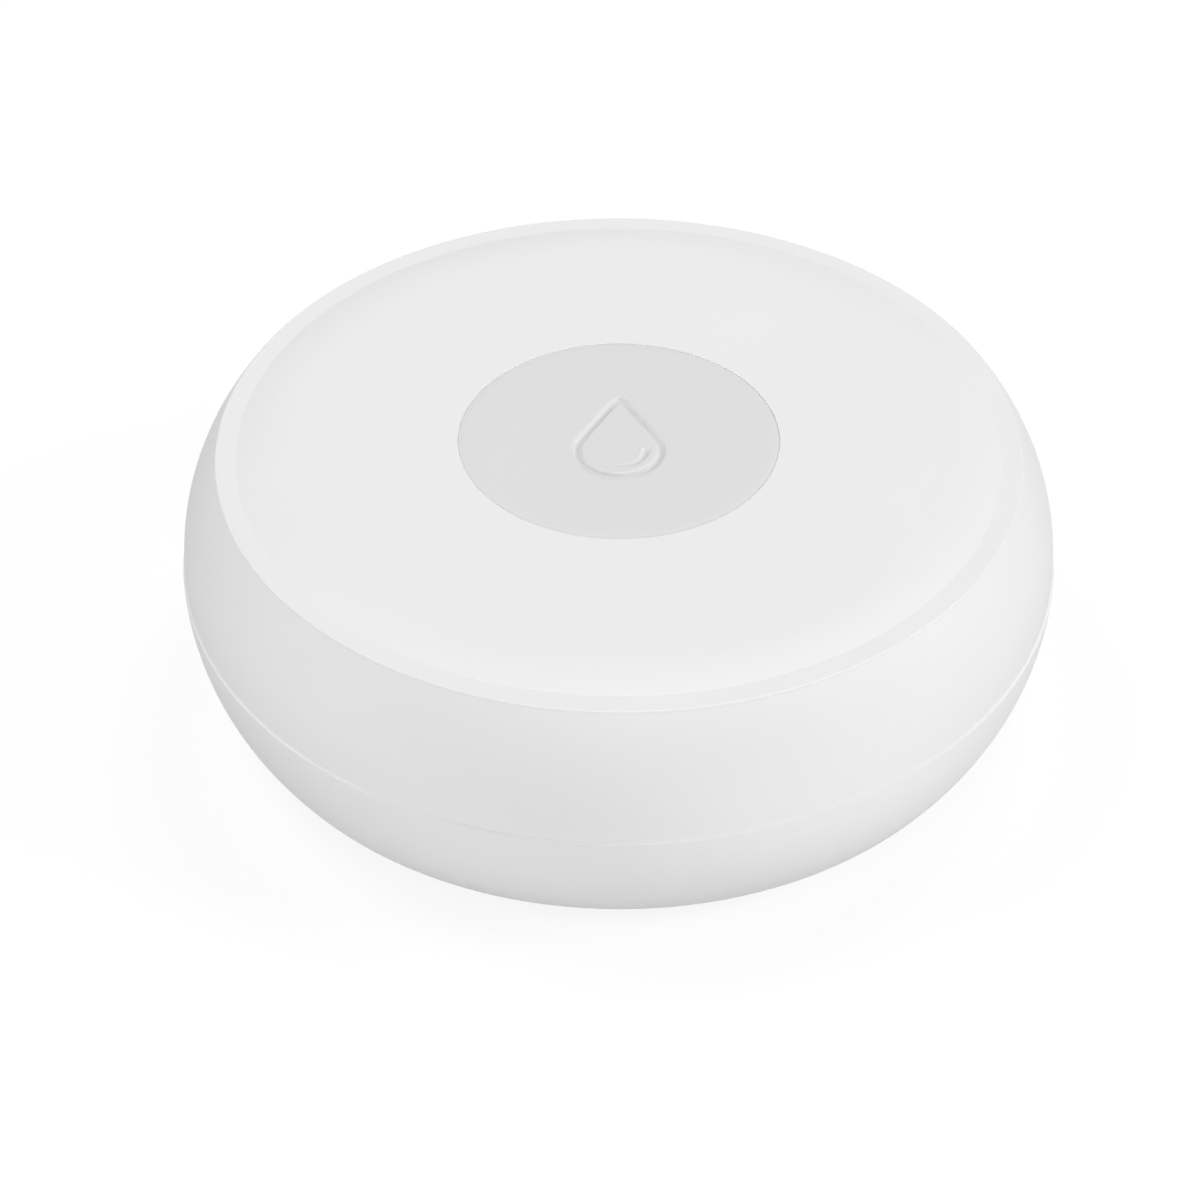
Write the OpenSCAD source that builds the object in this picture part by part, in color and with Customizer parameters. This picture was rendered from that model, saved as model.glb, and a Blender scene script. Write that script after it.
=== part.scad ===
// Round water leak sensor: two bulged shells and a low-crowned cover, with a push button on top
// and a twist-off battery door, two probe pins and four feet below.
// The origin is the middle of the plane that it stands on, +Z is up and the front faces -Y.

/* [Housing] */
// Diameter at the seam, where the side is widest
housing_d = 50; // [48:0.5:56]
// Height from the floor to the top of the lip
housing_h = 15.2; // [13.8:0.1:17]
// Height of the lip above the seam
lip_rise = 7.1; // [6.7:0.1:7.4]
// Distance that the lip's edge stands inside the widest circle
lip_inset = 2.36; // [2:0.01:3]
// Radius of the bulge above the seam
upper_bulge_r = 11.6; // [10:0.1:18]
// Radius of the bulge below the seam
lower_bulge_r = 12.5; // [12:0.1:18]
// Radius of the rounding under the side
base_round_r = 1.8; // [1.5:0.1:3.5]
// Wall of the lower shell
lower_wall = 1.6; // [1.2:0.1:2]
// Wall of the upper shell at the seam
upper_wall = 1.8; // [1.6:0.1:2.2]
// Thickness of the base plate
base_t = 1.6; // [1.4:0.1:2]
// Width of the step at the seam, where the lower shell stands proud
seam_step = 0.05; // [0:0.05:0.2]

/* [Top cover] */
// Width of the flat lip
lip_w = 1.05; // [0.8:0.05:1.4]
// Height of the crown above the lip
crown_rise = 0.28; // [0.1:0.02:0.4]
// Width of the crown's curved slope inside the lip
crown_slope_w = 2.8; // [2:0.1:6]
// Thickness of the cover in the middle
cover_t = 1.6; // [1.4:0.1:1.8]
// Thickness of the cover's edge above the upper shell
cover_edge_t = 0.3; // [0.2:0.05:0.6]
// Thickness of the skirt that stands on the deck
skirt_t = 1.2; // [0.8:0.1:1.6]
// Width of the upper shell's rim under the cover's edge
rim_w = 2; // [1.6:0.1:2.4]
// Open joint between the cover's edge and the upper shell
joint_gap = 0.1; // [0.05:0.01:0.2]
// Thickness of the deck inside the upper shell
deck_t = 1.4; // [0.8:0.1:1.6]

/* [Button] */
// Diameter of the button
button_d = 17.9; // [16:0.02:19]
// Running gap around the button
button_gap = 0.12; // [0.1:0.01:0.3]
// Distance that the button goes down
button_travel = 0.4; // [0.2:0.05:0.5]
// Width of the flange that holds the button under the cover
button_flange_w = 0.95; // [0.6:0.05:1.4]
// Thickness of that flange
button_flange_t = 0.55; // [0.4:0.05:0.8]
// Thickness of the button's side and top
button_wall = 1.1; // [0.8:0.1:1.3]
// Diameter of the button's stem
stem_d = 4.4; // [3:0.1:6]
// Thickness of the rubber diaphragm
diaphragm_t = 0.45; // [0.3:0.05:0.5]
// Width of the diaphragm's clamped bead
bead_w = 2; // [1.4:0.1:2.4]
// Width of the engraved water drop
drop_w = 5.4; // [4:0.1:6]
// Length of the engraved water drop
drop_l = 8.4; // [6.5:0.1:9]
// Width of the drop's line
drop_line_w = 0.65; // [0.3:0.05:0.7]
// Depth of the drop's line
drop_depth = 0.12; // [0.1:0.02:0.3]
// Distance of the drop's middle behind the button's middle
drop_shift = 0.35; // [0:0.05:0.6]

/* [Seam seal] */
// Thickness of the sealing ring's cord
seal_cord_d = 1.2; // [1:0.1:1.3]
// Width of the groove for the sealing ring
seal_groove_w = 1.4; // [1.3:0.1:1.6]
// Thickness of the lower shell's spigot
spigot_t = 1.2; // [1:0.1:1.6]
// Height of the spigot above the seam
spigot_h = 1.8; // [1.4:0.1:2.2]
// Height of the thick rim below the seam
rim_h = 1.6; // [1.2:0.1:2]

/* [Feet] */
// Diameter of a foot
foot_d = 5; // [4:0.1:5.4]
// Thickness of a foot
foot_t = 1; // [0.8:0.1:1.2]
// Height that a foot stands out of the base
foot_stand = 0.4; // [0.3:0.05:0.6]

/* [Coin cell] */
// Diameter of the coin cell
cell_d = 20; // [18:0.1:21]
// Diameter of the cell's negative cap
cell_cap_d = 17.6; // [15:0.1:17.8]
// Height of the step around that cap
cell_step_h = 0.3; // [0.2:0.05:0.5]
// Clearance around the cell in its well
cell_gap = 0.3; // [0.2:0.05:0.5]
// Room for the spring contact between the cell and the board
contact_room = 0.9; // [0.6:0.05:1.2]
// Thickness of the contact metal
contact_t = 0.2; // [0.15:0.05:0.3]
// Width of the positive clip
clip_w = 4; // [3:0.1:5]

/* [Battery door] */
// Thickness of the door's flange
door_flange_t = 1; // [0.8:0.1:1.2]
// Width of the flange outside the plug
door_flange_w = 1.8; // [1.6:0.1:2]
// Thickness of the plug's wall outside the cell's edge
plug_wall = 1.4; // [1.2:0.1:1.6]
// Clearance around the door
door_gap = 0.15; // [0.1:0.01:0.25]
// Turn from locked to open, in degrees
door_turn = 35; // [32:1:40]
// Angle that a bayonet lug covers
lug_span = 26; // [20:1:28]
// Distance that a lug stands out of the plug
lug_reach = 1.2; // [0.9:0.1:1.3]
// Thickness of a lug
lug_t = 0.8; // [0.6:0.05:1]
// Thickness of the ledge that the lugs catch
ledge_t = 0.9; // [0.7:0.05:1.1]
// Thickness of the door seal's cord
door_seal_d = 0.75; // [0.6:0.05:0.8]
// Height of the room for the door seal
door_seal_room = 0.8; // [0.8:0.05:0.95]
// Length of the coin slot
slot_l = 15; // [10:0.5:18]
// Width of the coin slot
slot_w = 1.9; // [1.6:0.1:2.4]
// Depth of the coin slot
slot_depth = 1.1; // [0.8:0.1:1.3]
// Thickness of the door behind the slot
slot_floor_t = 0.8; // [0.6:0.1:1]

/* [Probes] */
// Diameter of a probe's head
probe_head_d = 5; // [4:0.1:5.4]
// Thickness of a probe's head
probe_head_t = 0.8; // [0.6:0.05:0.9]
// Gap between a probe's head and the floor
probe_gap = 0.12; // [0.05:0.01:0.2]
// Diameter of a probe's shank
probe_d = 2; // [1.6:0.1:2.2]
// Room for the contact spring between a probe and the board
spring_room = 1.6; // [1:0.1:2]
// Length of the shank above the sleeve
probe_tip_l = 1.2; // [1:0.1:1.4]
// Thickness of the probe seal's cord
probe_seal_d = 0.7; // [0.5:0.05:0.75]
// Thickness of the washer that locks the shank
washer_t = 0.3; // [0.2:0.05:0.5]
// Width of a probe's contact spring
spring_w = 2.4; // [1.8:0.1:3]

/* [Fasteners] */
// Diameter of a housing screw
screw_d = 2; // [1.6:0.1:2.2]
// Diameter of a housing screw's head
screw_head_d = 3.8; // [3.2:0.1:4]
// Height of a housing screw's head
screw_head_t = 1.3; // [1:0.1:1.5]
// Depth of a housing screw's head inside the base
screw_sink = 0.9; // [0.5:0.1:1.2]
// Length that a housing screw goes into its boss
screw_grip = 3.1; // [2:0.1:3.4]
// Wall of a screw boss
boss_wall = 1.2; // [0.9:0.05:1.3]
// Diameter of a board screw
board_screw_d = 1.5; // [1.2:0.1:1.7]
// Diameter of a board screw's head
board_head_d = 3; // [2.4:0.1:3.2]
// Height of a board screw's head
board_head_t = 0.9; // [0.7:0.05:1.1]
// Length of a board screw below the board
board_screw_l = 3.4; // [2.5:0.1:4]
// Distance of the board screws inside the circle of housing screws
board_screw_inset = 3; // [2.6:0.1:3.2]

/* [Board] */
// Thickness of the circuit board
board_t = 1; // [0.8:0.1:1.2]
// Clearance around the board and its notches
board_gap = 0.4; // [0.3:0.05:0.6]
// Side of the square key switch
switch_w = 6; // [5:0.1:6.4]
// Height of the key switch's body
switch_h = 2.3; // [2:0.1:2.4]
// Thickness of the switch's metal cover
switch_cover_t = 0.2; // [0.15:0.05:0.3]
// Diameter of the switch's plunger
plunger_d = 3.5; // [3:0.1:3.8]
// Clearance around the plunger
plunger_gap = 0.2; // [0.15:0.05:0.3]
// Side of the radio chip
radio_w = 6; // [5:0.1:7]
// Height of the radio chip
radio_h = 0.9; // [0.7:0.05:1.1]
// Length of the chip antenna
antenna_l = 7; // [5:0.1:9]
// Width of the chip antenna
antenna_w = 2; // [1.6:0.1:2.4]

/* [Hidden] */
$fn = 96;

// Small overshoot of a cut past a face
eps = 0.01;
// Clearance between flat faces that are assembled but not glued
seat_gap = 0.05;
// Radial clearance of a pin or screw in its hole
fit_gap = 0.05;
// Clearance of a part that drops into a recess
recess_gap = 0.1;

// Angles of the bottom features around the middle
probe_angles = [0, 180];
foot_angles = [60, 120, 240, 300];
screw_angles = [30, 150, 210, 330];
board_screw_angles = [90, 225, 315];
lug_angles = [0, 120, 240];

white = [0.93, 0.93, 0.93];
grey = [0.74, 0.74, 0.75];
steel = [0.72, 0.73, 0.75];
nickel = [0.8, 0.78, 0.72];
rubber = [0.25, 0.25, 0.27];
board_green = [0.1, 0.36, 0.2];
chip_black = [0.12, 0.12, 0.13];

// Outside of the housing
housing_r = housing_d / 2;
seam_z = housing_h - lip_rise;
base_z = foot_stand;
floor_z = base_z + base_t;
lip_r = housing_r - lip_inset;

// Centre of the upper bulge, whose arc runs from the seam to the lip's edge
seam_point = [housing_r - seam_step, seam_z];
lip_point = [lip_r, housing_h];
chord = lip_point - seam_point;
chord_out = [chord[1], -chord[0]] / norm(chord);
upper_c = (seam_point + lip_point) / 2 - chord_out * sqrt(pow(upper_bulge_r, 2) - pow(norm(chord) / 2, 2));

// Centres of the lower bulge and of the rounding that blends it into the base
lower_c = [housing_r - lower_bulge_r, seam_z];
round_z = base_z + base_round_r;
round_c = [lower_c[0] + sqrt(pow(lower_bulge_r - base_round_r, 2) - pow(seam_z - round_z, 2)), round_z];
blend_z = lower_c[1] + (round_c[1] - lower_c[1]) * lower_bulge_r / (lower_bulge_r - base_round_r);

// Seam joint
seal_out_r = housing_r - upper_wall;
spigot_out_r = seal_out_r - seal_groove_w;
spigot_in_r = spigot_out_r - spigot_t;
spigot_top_z = seam_z + spigot_h;
seal_top_z = seam_z + seal_cord_d + 2 * seat_gap;

// Top cover, button and deck
lip_in_r = lip_r - lip_w;
crown_flat_r = lip_in_r - crown_slope_w;
crown_z = housing_h + crown_rise;
crown_arc_r = (pow(crown_slope_w, 2) + pow(crown_rise, 2)) / (2 * crown_rise);
cover_under_z = crown_z - cover_t;
joint_z = housing_h - cover_edge_t;
shell_top_z = joint_z - joint_gap;
skirt_r = lip_r - rim_w;
button_r = button_d / 2;
button_hole_r = button_r + button_gap;
button_flange_r = button_r + button_flange_w;
flange_top_z = cover_under_z - seat_gap;
button_z = flange_top_z - button_flange_t;
diaphragm_z = button_z - diaphragm_t;
bead_in_r = button_flange_r + 4 * recess_gap;
bead_out_r = bead_in_r + bead_w;
deck_top_z = diaphragm_z;
deck_z = deck_top_z - deck_t;
deck_hole_r = bead_in_r - 2 * recess_gap;
// Middle of the drop's round end, and the radius of the glint's arc about it
drop_round_y = drop_shift + drop_w / 2 - drop_l / 2;
glint_r = 1.5;

// Battery door
cell_r = cell_d / 2;
plug_r = cell_r + plug_wall;
door_flange_r = plug_r + door_flange_w;
flange_z = base_z + door_flange_t;
ledge_z = flange_z + door_seal_room;
lug_z = ledge_z + ledge_t + seat_gap;
plug_top_z = lug_z + lug_t;
lug_r = plug_r + lug_reach;
groove_r = lug_r + door_gap;
groove_top_z = plug_top_z + recess_gap;
// Free angle between a lug and its stops
lug_play = 1.5;
door_seal_r = plug_r + door_gap + (door_flange_w + door_gap) / 2;

// Board, whose switch reaches up to the deck, and the cell in the room that is left under it
switch_gap = 0.03;
switch_top_z = deck_z - switch_gap;
board_top_z = switch_top_z - switch_h;
board_z = board_top_z - board_t;
cell_z = plug_top_z + seat_gap;
cell_top_z = board_z - contact_room;
well_r = cell_r + cell_gap;
// Wall of the cell's well, and the play of the clip in its slot
well_wall = 1.2;
clip_play = 0.5;
well_top_z = cell_top_z + 4 * seat_gap;
clip_slot_z = groove_top_z + well_wall;
clip_slot = [clip_w + 2 * clip_play, well_wall + 2 * clip_play, well_top_z];
// Length of a contact's soldered foot under the board
solder_l = 2.4;
board_r = spigot_in_r - board_gap;

// Fastener circle and bosses
boss_r = screw_d / 2 + boss_wall;
fastener_r = spigot_in_r - boss_r - 2 * recess_gap;
board_screw_r = fastener_r - board_screw_inset;
post_wall = 0.95;
post_r = board_screw_d / 2 + post_wall;
screw_seat_z = base_z + screw_sink + screw_head_t;
head_bore_r = screw_head_d / 2 + 2 * recess_gap;
column_wall = 1;
column_foot_r = head_bore_r + column_wall;
column_top_z = seam_z - seat_gap;
screw_top_z = seam_z + screw_grip;

// Cross recess of a screw, as shares of the head's diameter
cross_l = 0.6;
cross_w = 0.16;

// Probes
probe_r = probe_d / 2;
probe_seat_z = probe_gap + probe_head_t;
probe_seal_r = probe_r + fit_gap + probe_seal_d / 2;
probe_top_z = board_z - spring_room;
sleeve_top_z = probe_top_z - probe_tip_l;

// Switch on the board, with the plunger reaching the diaphragm
switch_cover_z = switch_top_z + switch_cover_t;
plunger_r = plunger_d / 2;
plunger_flange_w = 0.5;
plunger_flange_r = plunger_r + plunger_flange_w;
plunger_flange_t = 0.6;
plunger_tip_r = 1;
switch_well_r = plunger_flange_r + plunger_gap;
switch_floor_t = 0.5;
dome_rise = button_travel;
dome_t = 0.1;
dome_r = switch_well_r - plunger_gap;
dome_z = board_top_z + switch_floor_t;
dome_sphere_r = (pow(dome_r, 2) + pow(dome_rise, 2)) / (2 * dome_rise);

// Small parts on the board: middle and size
radio_at = [10.4, 2.4];
crystal_at = [10.4, -3.4];
crystal_size = [3.2, 2.5, 0.8];
sense_at = [-11, 0];
sense_size = [3, 3, 1];
led_at = [0, -6];
led_size = [1.6, 0.8, 0.6];
passive_size = [1, 0.5, 0.5];
passive_spots = [[-8, 5], [-8, 6.4], [-8, -4], [-8, -5.4], [6, 8.4], [7.6, 8.4], [4, -9], [5.6, -9]];
antenna_h = 1.2;

// Ring section from one radius to another, between two heights
module band(r_in, r_out, z0, z1) {
    translate([r_in, z0]) square([r_out - r_in, z1 - z0]);
}

// Half section out to an arc of radius r about centre c, between two heights
module bulge(c, r, z0, z1) {
    intersection() {
        translate(c) circle(r = r);
        band(c[0], c[0] + r, z0, z1);
    }
    band(0, c[0] + eps, z0, z1);
}

// Upright rod between two heights
module rod(r, z0, z1) {
    translate([0, 0, z0]) cylinder(r = r, h = z1 - z0);
}

// Copies of the children around the middle, at a radius and at each angle
module around(angles, r) {
    for (a = angles) rotate(a) translate([r, 0, 0]) children();
}

// Part of a ring, from angle a0 over a span
module arc_band(r_in, r_out, z0, z1, a0, span) {
    rotate(a0) rotate_extrude(angle = span) band(r_in, r_out, z0, z1);
}

// Block that stands on height z, centred on a spot
module block(spot, size, z) {
    translate([spot[0] - size[0] / 2, spot[1] - size[1] / 2, z]) cube(size);
}

// Round sealing ring
module seal_ring(r, cord_d, z) {
    rotate_extrude() translate([r, z]) circle(d = cord_d);
}

// Screw with its head down and its head's outer face at z = 0
module screw(d, head_d, head_t, length) {
    recess_l = head_d * cross_l;
    recess_w = head_d * cross_w;
    difference() {
        union() {
            rod(head_d / 2, 0, head_t);
            rod(d / 2, head_t - eps, head_t + length);
        }
        for (a = [0, 90]) rotate(a) block([0, 0], [recess_l, recess_w, head_t / 2 + eps], -eps);
    }
}

// Side of the housing below the seam
module lower_outline() {
    bulge(lower_c, lower_bulge_r, blend_z, seam_z);
    intersection() {
        translate(round_c) circle(r = base_round_r);
        band(round_c[0], round_c[0] + base_round_r, base_z, blend_z);
    }
    band(0, round_c[0] + eps, base_z, blend_z);
}

// Half section of the crown: flat in the middle, with an arc that runs down to the lip
module crown() {
    band(0, crown_flat_r + eps, housing_h - eps, crown_z);
    intersection() {
        translate([crown_flat_r, crown_z - crown_arc_r]) circle(r = crown_arc_r);
        band(crown_flat_r, lip_in_r, housing_h - eps, crown_z);
    }
}

// Outline of a water drop, drawn in by an inset
module drop(inset) {
    r = drop_w / 2 - inset;
    reach = (drop_l - drop_w / 2) * r / (drop_w / 2);
    lean = acos(r / reach);
    translate([0, drop_round_y]) {
        circle(r = r);
        polygon([[0, reach], [r * sin(lean), r * cos(lean)], [0, 0], [-r * sin(lean), r * cos(lean)]]);
    }
}

module top_cover() {
    color(white) rotate_extrude() difference() {
        union() {
            bulge(upper_c, upper_bulge_r, joint_z, housing_h);
            band(button_hole_r, skirt_r, cover_under_z, housing_h);
            band(skirt_r - skirt_t, skirt_r, deck_top_z, joint_z);
            crown();
        }
        band(0, button_hole_r, deck_top_z, crown_z + eps);
    }
}

module upper_shell() {
    color(white) difference() {
        union() {
            rotate_extrude() difference() {
                bulge(upper_c, upper_bulge_r, seam_z, shell_top_z);
                band(0, seal_out_r, seam_z - eps, seal_top_z);
                band(0, spigot_out_r + 2 * recess_gap, seam_z, deck_z);
                band(0, deck_hole_r, seam_z, housing_h);
                band(0, skirt_r + recess_gap, deck_top_z, housing_h);
            }
            around(screw_angles, fastener_r) rod(boss_r, seam_z, deck_z + eps);
        }
        around(screw_angles, fastener_r) rod(screw_d / 2 + fit_gap, seam_z - eps, screw_top_z + recess_gap);
    }
}

// Lower shell before its holes: the wall, the spigot and the well for the cell
module lower_section() {
    difference() {
        union() {
            difference() {
                lower_outline();
                bulge(lower_c, lower_bulge_r - lower_wall, floor_z, seam_z - rim_h);
                band(0, spigot_in_r, floor_z, seam_z + eps);
            }
            band(spigot_in_r, spigot_out_r, seam_z - rim_h, spigot_top_z);
            band(0, groove_r + well_wall, base_z, groove_top_z + well_wall);
            band(0, well_r + well_wall, base_z, well_top_z);
        }
        band(0, door_flange_r + door_gap, base_z - eps, ledge_z);
        band(0, plug_r + door_gap, base_z, groove_top_z);
        band(0, well_r, base_z, well_top_z + eps);
    }
}

module lower_shell() {
    color(white) difference() {
        union() {
            rotate_extrude() lower_section();
            around(screw_angles, fastener_r) {
                rod(column_foot_r, floor_z - eps, screw_seat_z + column_wall);
                rod(boss_r, floor_z - eps, column_top_z);
            }
            around(probe_angles, fastener_r) rod(probe_r + boss_wall, floor_z - eps, sleeve_top_z);
            around(board_screw_angles, board_screw_r) rod(post_r, floor_z - eps, board_z);
        }
        for (a = lug_angles) {
            open_a = a - door_turn - lug_span / 2 - lug_play;
            gate = lug_span + 2 * lug_play;
            arc_band(plug_r, groove_r, base_z, groove_top_z, open_a, gate);
            arc_band(plug_r, groove_r, lug_z - seat_gap, groove_top_z, open_a, gate + door_turn);
        }
        around(screw_angles, fastener_r) {
            rod(head_bore_r, 0, screw_seat_z);
            rod(screw_d / 2 + fit_gap, 0, seam_z);
        }
        around(probe_angles, fastener_r) {
            rod(probe_head_d / 2 + recess_gap, 0, probe_seat_z);
            rod(probe_seal_r + probe_seal_d / 2 + fit_gap, 0, probe_seat_z + probe_seal_d + fit_gap);
            rod(probe_r + fit_gap, 0, sleeve_top_z + eps);
        }
        around(foot_angles, fastener_r) rod(foot_d / 2 + recess_gap, 0, foot_t);
        around(board_screw_angles, board_screw_r)
            rod(board_screw_d / 2 + fit_gap, board_z - board_screw_l - recess_gap, board_z + eps);
        block([0, -well_r - well_wall / 2], clip_slot, clip_slot_z);
    }
}

module housing_seal() {
    ring_z = seam_z + seat_gap + seal_cord_d / 2;
    color(rubber) seal_ring(spigot_out_r + seal_groove_w / 2, seal_cord_d, ring_z);
}

module housing_screws() {
    color(steel) around(screw_angles, fastener_r) translate([0, 0, screw_seat_z - screw_head_t])
        screw(screw_d, screw_head_d, screw_head_t, screw_top_z - screw_seat_z);
}

module feet() {
    color(rubber) around(foot_angles, fastener_r) rod(foot_d / 2, 0, foot_t);
}

// Button with a hollow underside around its stem, and an engraved drop with its small glint
module button_cap() {
    half_line = drop_line_w / 2;
    drop_z = crown_z - drop_depth;
    color(grey) difference() {
        union() {
            rod(button_r, button_z, crown_z);
            rod(button_flange_r, button_z, flange_top_z);
        }
        rotate_extrude() band(stem_d / 2, button_r - button_wall, button_z - eps, crown_z - button_wall);
        translate([0, 0, drop_z]) linear_extrude(drop_depth + eps) difference() {
            drop(0);
            drop(drop_line_w);
        }
        translate([0, drop_round_y, 0])
            arc_band(glint_r - half_line, glint_r + half_line, drop_z, crown_z + eps, 270, 90);
    }
}

module button_diaphragm() {
    color(rubber) rotate_extrude() {
        band(0, bead_out_r, diaphragm_z, button_z);
        band(bead_in_r, bead_out_r, diaphragm_z, cover_under_z);
    }
}

module circuit_board() {
    color(board_green) difference() {
        rod(board_r, board_z, board_top_z);
        around(screw_angles, fastener_r) rod(boss_r + board_gap, 0, housing_h);
        around(board_screw_angles, board_screw_r) rod(board_screw_d / 2 + fit_gap, 0, housing_h);
    }
}

module board_screws() {
    color(steel) around(board_screw_angles, board_screw_r) translate([0, 0, board_top_z + board_head_t])
        rotate([180, 0, 0]) screw(board_screw_d, board_head_d, board_head_t, board_t + board_screw_l);
}

module switch_body() {
    color(chip_black) difference() {
        block([0, 0], [switch_w, switch_w, switch_h], board_top_z);
        rod(switch_well_r, dome_z, switch_top_z + eps);
    }
}

module switch_cover() {
    color(steel) difference() {
        block([0, 0], [switch_w, switch_w, switch_cover_t], switch_top_z);
        rod(plunger_r + plunger_gap, switch_top_z - eps, switch_cover_z + eps);
    }
}

// Snap dome: a thin cap of a sphere under the plunger
module switch_dome() {
    color(nickel) translate([0, 0, dome_z]) rotate_extrude() intersection() {
        translate([0, dome_rise - dome_sphere_r]) difference() {
            circle(r = dome_sphere_r);
            circle(r = dome_sphere_r - dome_t);
        }
        band(0, dome_r, 0, dome_rise + eps);
    }
}

module switch_plunger() {
    flange_z = switch_top_z - seat_gap - plunger_flange_t;
    color(chip_black) {
        rod(plunger_r, flange_z, diaphragm_z);
        rod(plunger_flange_r, flange_z, flange_z + plunger_flange_t);
        rod(plunger_tip_r, dome_z + dome_rise + seat_gap, flange_z + eps);
    }
}

module status_led() {
    color("white") block(led_at, led_size, board_top_z);
}

module radio_chip() {
    color(chip_black) block(radio_at, [radio_w, radio_w, radio_h], board_top_z);
}

module sense_chip() {
    color(chip_black) block(sense_at, sense_size, board_top_z);
}

module crystal() {
    color(steel) block(crystal_at, crystal_size, board_top_z);
}

module antenna() {
    spot = [0, antenna_w - board_r + 2 * board_gap];
    color("ivory") block(spot, [antenna_l, antenna_w, antenna_h], board_top_z);
}

module passives() {
    color("tan") for (spot = passive_spots) block(spot, passive_size, board_top_z);
}

module coin_cell() {
    color(steel) {
        rod(cell_r, cell_z, cell_top_z - cell_step_h);
        rod(cell_cap_d / 2, cell_top_z - cell_step_h - eps, cell_top_z);
    }
}

// Clip soldered under the board, whose blade runs down beside the cell
module positive_clip() {
    blade_y = -cell_r - fit_gap;
    blade_z = clip_slot_z + recess_gap;
    color(nickel) {
        block([0, blade_y - contact_t / 2], [clip_w, contact_t, board_z - blade_z], blade_z);
        block([0, blade_y - solder_l / 2], [clip_w, solder_l, contact_t], board_z - contact_t);
    }
}

// Strip under the board that steps down to touch what lies below it
module step_spring(x0, x1, w, z_touch) {
    translate([x0 - solder_l, -w / 2, board_z - contact_t]) cube([solder_l, w, contact_t]);
    translate([x0 - contact_t, -w / 2, z_touch]) cube([contact_t, w, board_z - z_touch]);
    translate([x0 - contact_t, -w / 2, z_touch]) cube([x1 - x0 + contact_t, w, contact_t]);
}

module negative_contact() {
    color(nickel) step_spring(-cell_r / 3, cell_r / 3, clip_w, cell_top_z);
}

module probe_contacts() {
    color(nickel) around(probe_angles, 0)
        step_spring(fastener_r - probe_d * 2, fastener_r + probe_r, spring_w, probe_top_z);
}

// Door with a coin slot outside, a cup inside and three bayonet lugs
module battery_door() {
    slot_top_z = base_z + slot_depth + slot_floor_t;
    color(white) difference() {
        union() {
            rod(door_flange_r, base_z, flange_z);
            rod(plug_r, base_z, plug_top_z);
            for (a = lug_angles) arc_band(plug_r - eps, lug_r, lug_z, plug_top_z, a - lug_span / 2, lug_span);
        }
        rod(cell_cap_d / 2, slot_top_z, plug_top_z + eps);
        block([0, 0], [slot_l, slot_w, slot_depth + eps], base_z - eps);
    }
}

module door_seal() {
    color(rubber) seal_ring(door_seal_r, door_seal_d, flange_z + door_seal_d / 2);
}

module probe_pins() {
    color(steel) around(probe_angles, fastener_r) {
        rod(probe_head_d / 2, probe_gap, probe_seat_z);
        rod(probe_r, probe_seat_z - eps, probe_top_z);
    }
}

module probe_seals() {
    color(rubber) around(probe_angles, fastener_r)
        seal_ring(probe_seal_r, probe_seal_d, probe_seat_z + probe_seal_d / 2);
}

module probe_washers() {
    color(steel) around(probe_angles, fastener_r)
        rotate_extrude() band(probe_r + fit_gap, probe_r + boss_wall, sleeve_top_z, sleeve_top_z + washer_t);
}

top_cover();
upper_shell();
lower_shell();
housing_seal();
housing_screws();
feet();
button_cap();
button_diaphragm();
circuit_board();
board_screws();
switch_body();
switch_cover();
switch_dome();
switch_plunger();
status_led();
radio_chip();
sense_chip();
crystal();
antenna();
passives();
coin_cell();
positive_clip();
negative_contact();
battery_door();
door_seal();
probe_pins();
probe_seals();
probe_washers();
probe_contacts();
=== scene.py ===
# Looks of a round water leak sensor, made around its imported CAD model.
# The dictionaries hold millimetres and degrees, and the meshes are in metres.
import math
import bmesh
import bpy
import numpy as np
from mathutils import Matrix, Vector


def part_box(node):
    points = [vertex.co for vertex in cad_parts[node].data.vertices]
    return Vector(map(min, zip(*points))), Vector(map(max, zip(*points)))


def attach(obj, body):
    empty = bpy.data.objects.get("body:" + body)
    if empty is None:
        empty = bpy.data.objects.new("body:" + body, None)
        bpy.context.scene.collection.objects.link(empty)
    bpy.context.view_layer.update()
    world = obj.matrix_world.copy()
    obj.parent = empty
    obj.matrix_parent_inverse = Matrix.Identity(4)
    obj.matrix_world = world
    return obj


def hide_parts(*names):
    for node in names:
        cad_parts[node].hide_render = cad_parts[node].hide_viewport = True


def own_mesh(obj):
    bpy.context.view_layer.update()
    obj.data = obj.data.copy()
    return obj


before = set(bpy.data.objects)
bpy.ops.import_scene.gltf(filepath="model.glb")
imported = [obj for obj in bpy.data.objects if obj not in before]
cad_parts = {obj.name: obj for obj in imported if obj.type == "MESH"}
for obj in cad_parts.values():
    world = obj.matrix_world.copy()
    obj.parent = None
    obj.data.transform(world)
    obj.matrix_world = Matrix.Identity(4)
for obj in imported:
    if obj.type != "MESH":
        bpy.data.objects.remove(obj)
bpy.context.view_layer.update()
mm = 0.001
fullTurn = 360     # columns of the large turned surfaces, one for each degree
smallTurn = 96     # columns of the small ones, such as pins, feet and bosses
smoothAngle = 35   # edges that turn further than this stay sharp
sunk = 0.01        # how far a boss or a rod goes into the face that it stands on
samePoint = 1e-6   # points of an outline that are closer than this are one point
mergeDistance, flatEdge = 1e-7, 1e-8  # in metres, for closing a mesh


# Lowest and highest corner of a CAD node, in millimetres
def cadBox(node):
    low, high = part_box(node)
    return np.array(low) / mm, np.array(high) / mm


# Points on a circle about a centre between two angles in degrees, both ends included
def arcPoints(centre, radius, fromAngle, toAngle, steps):
    angle = np.radians(np.linspace(fromAngle, toAngle, steps + 1))
    return np.column_stack([centre[0] + radius * np.cos(angle), centre[1] + radius * np.sin(angle)])


# Points of a curve as corners that stay as they are
def plain(points):
    return [(x, y, 0) for x, y in points]


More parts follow.
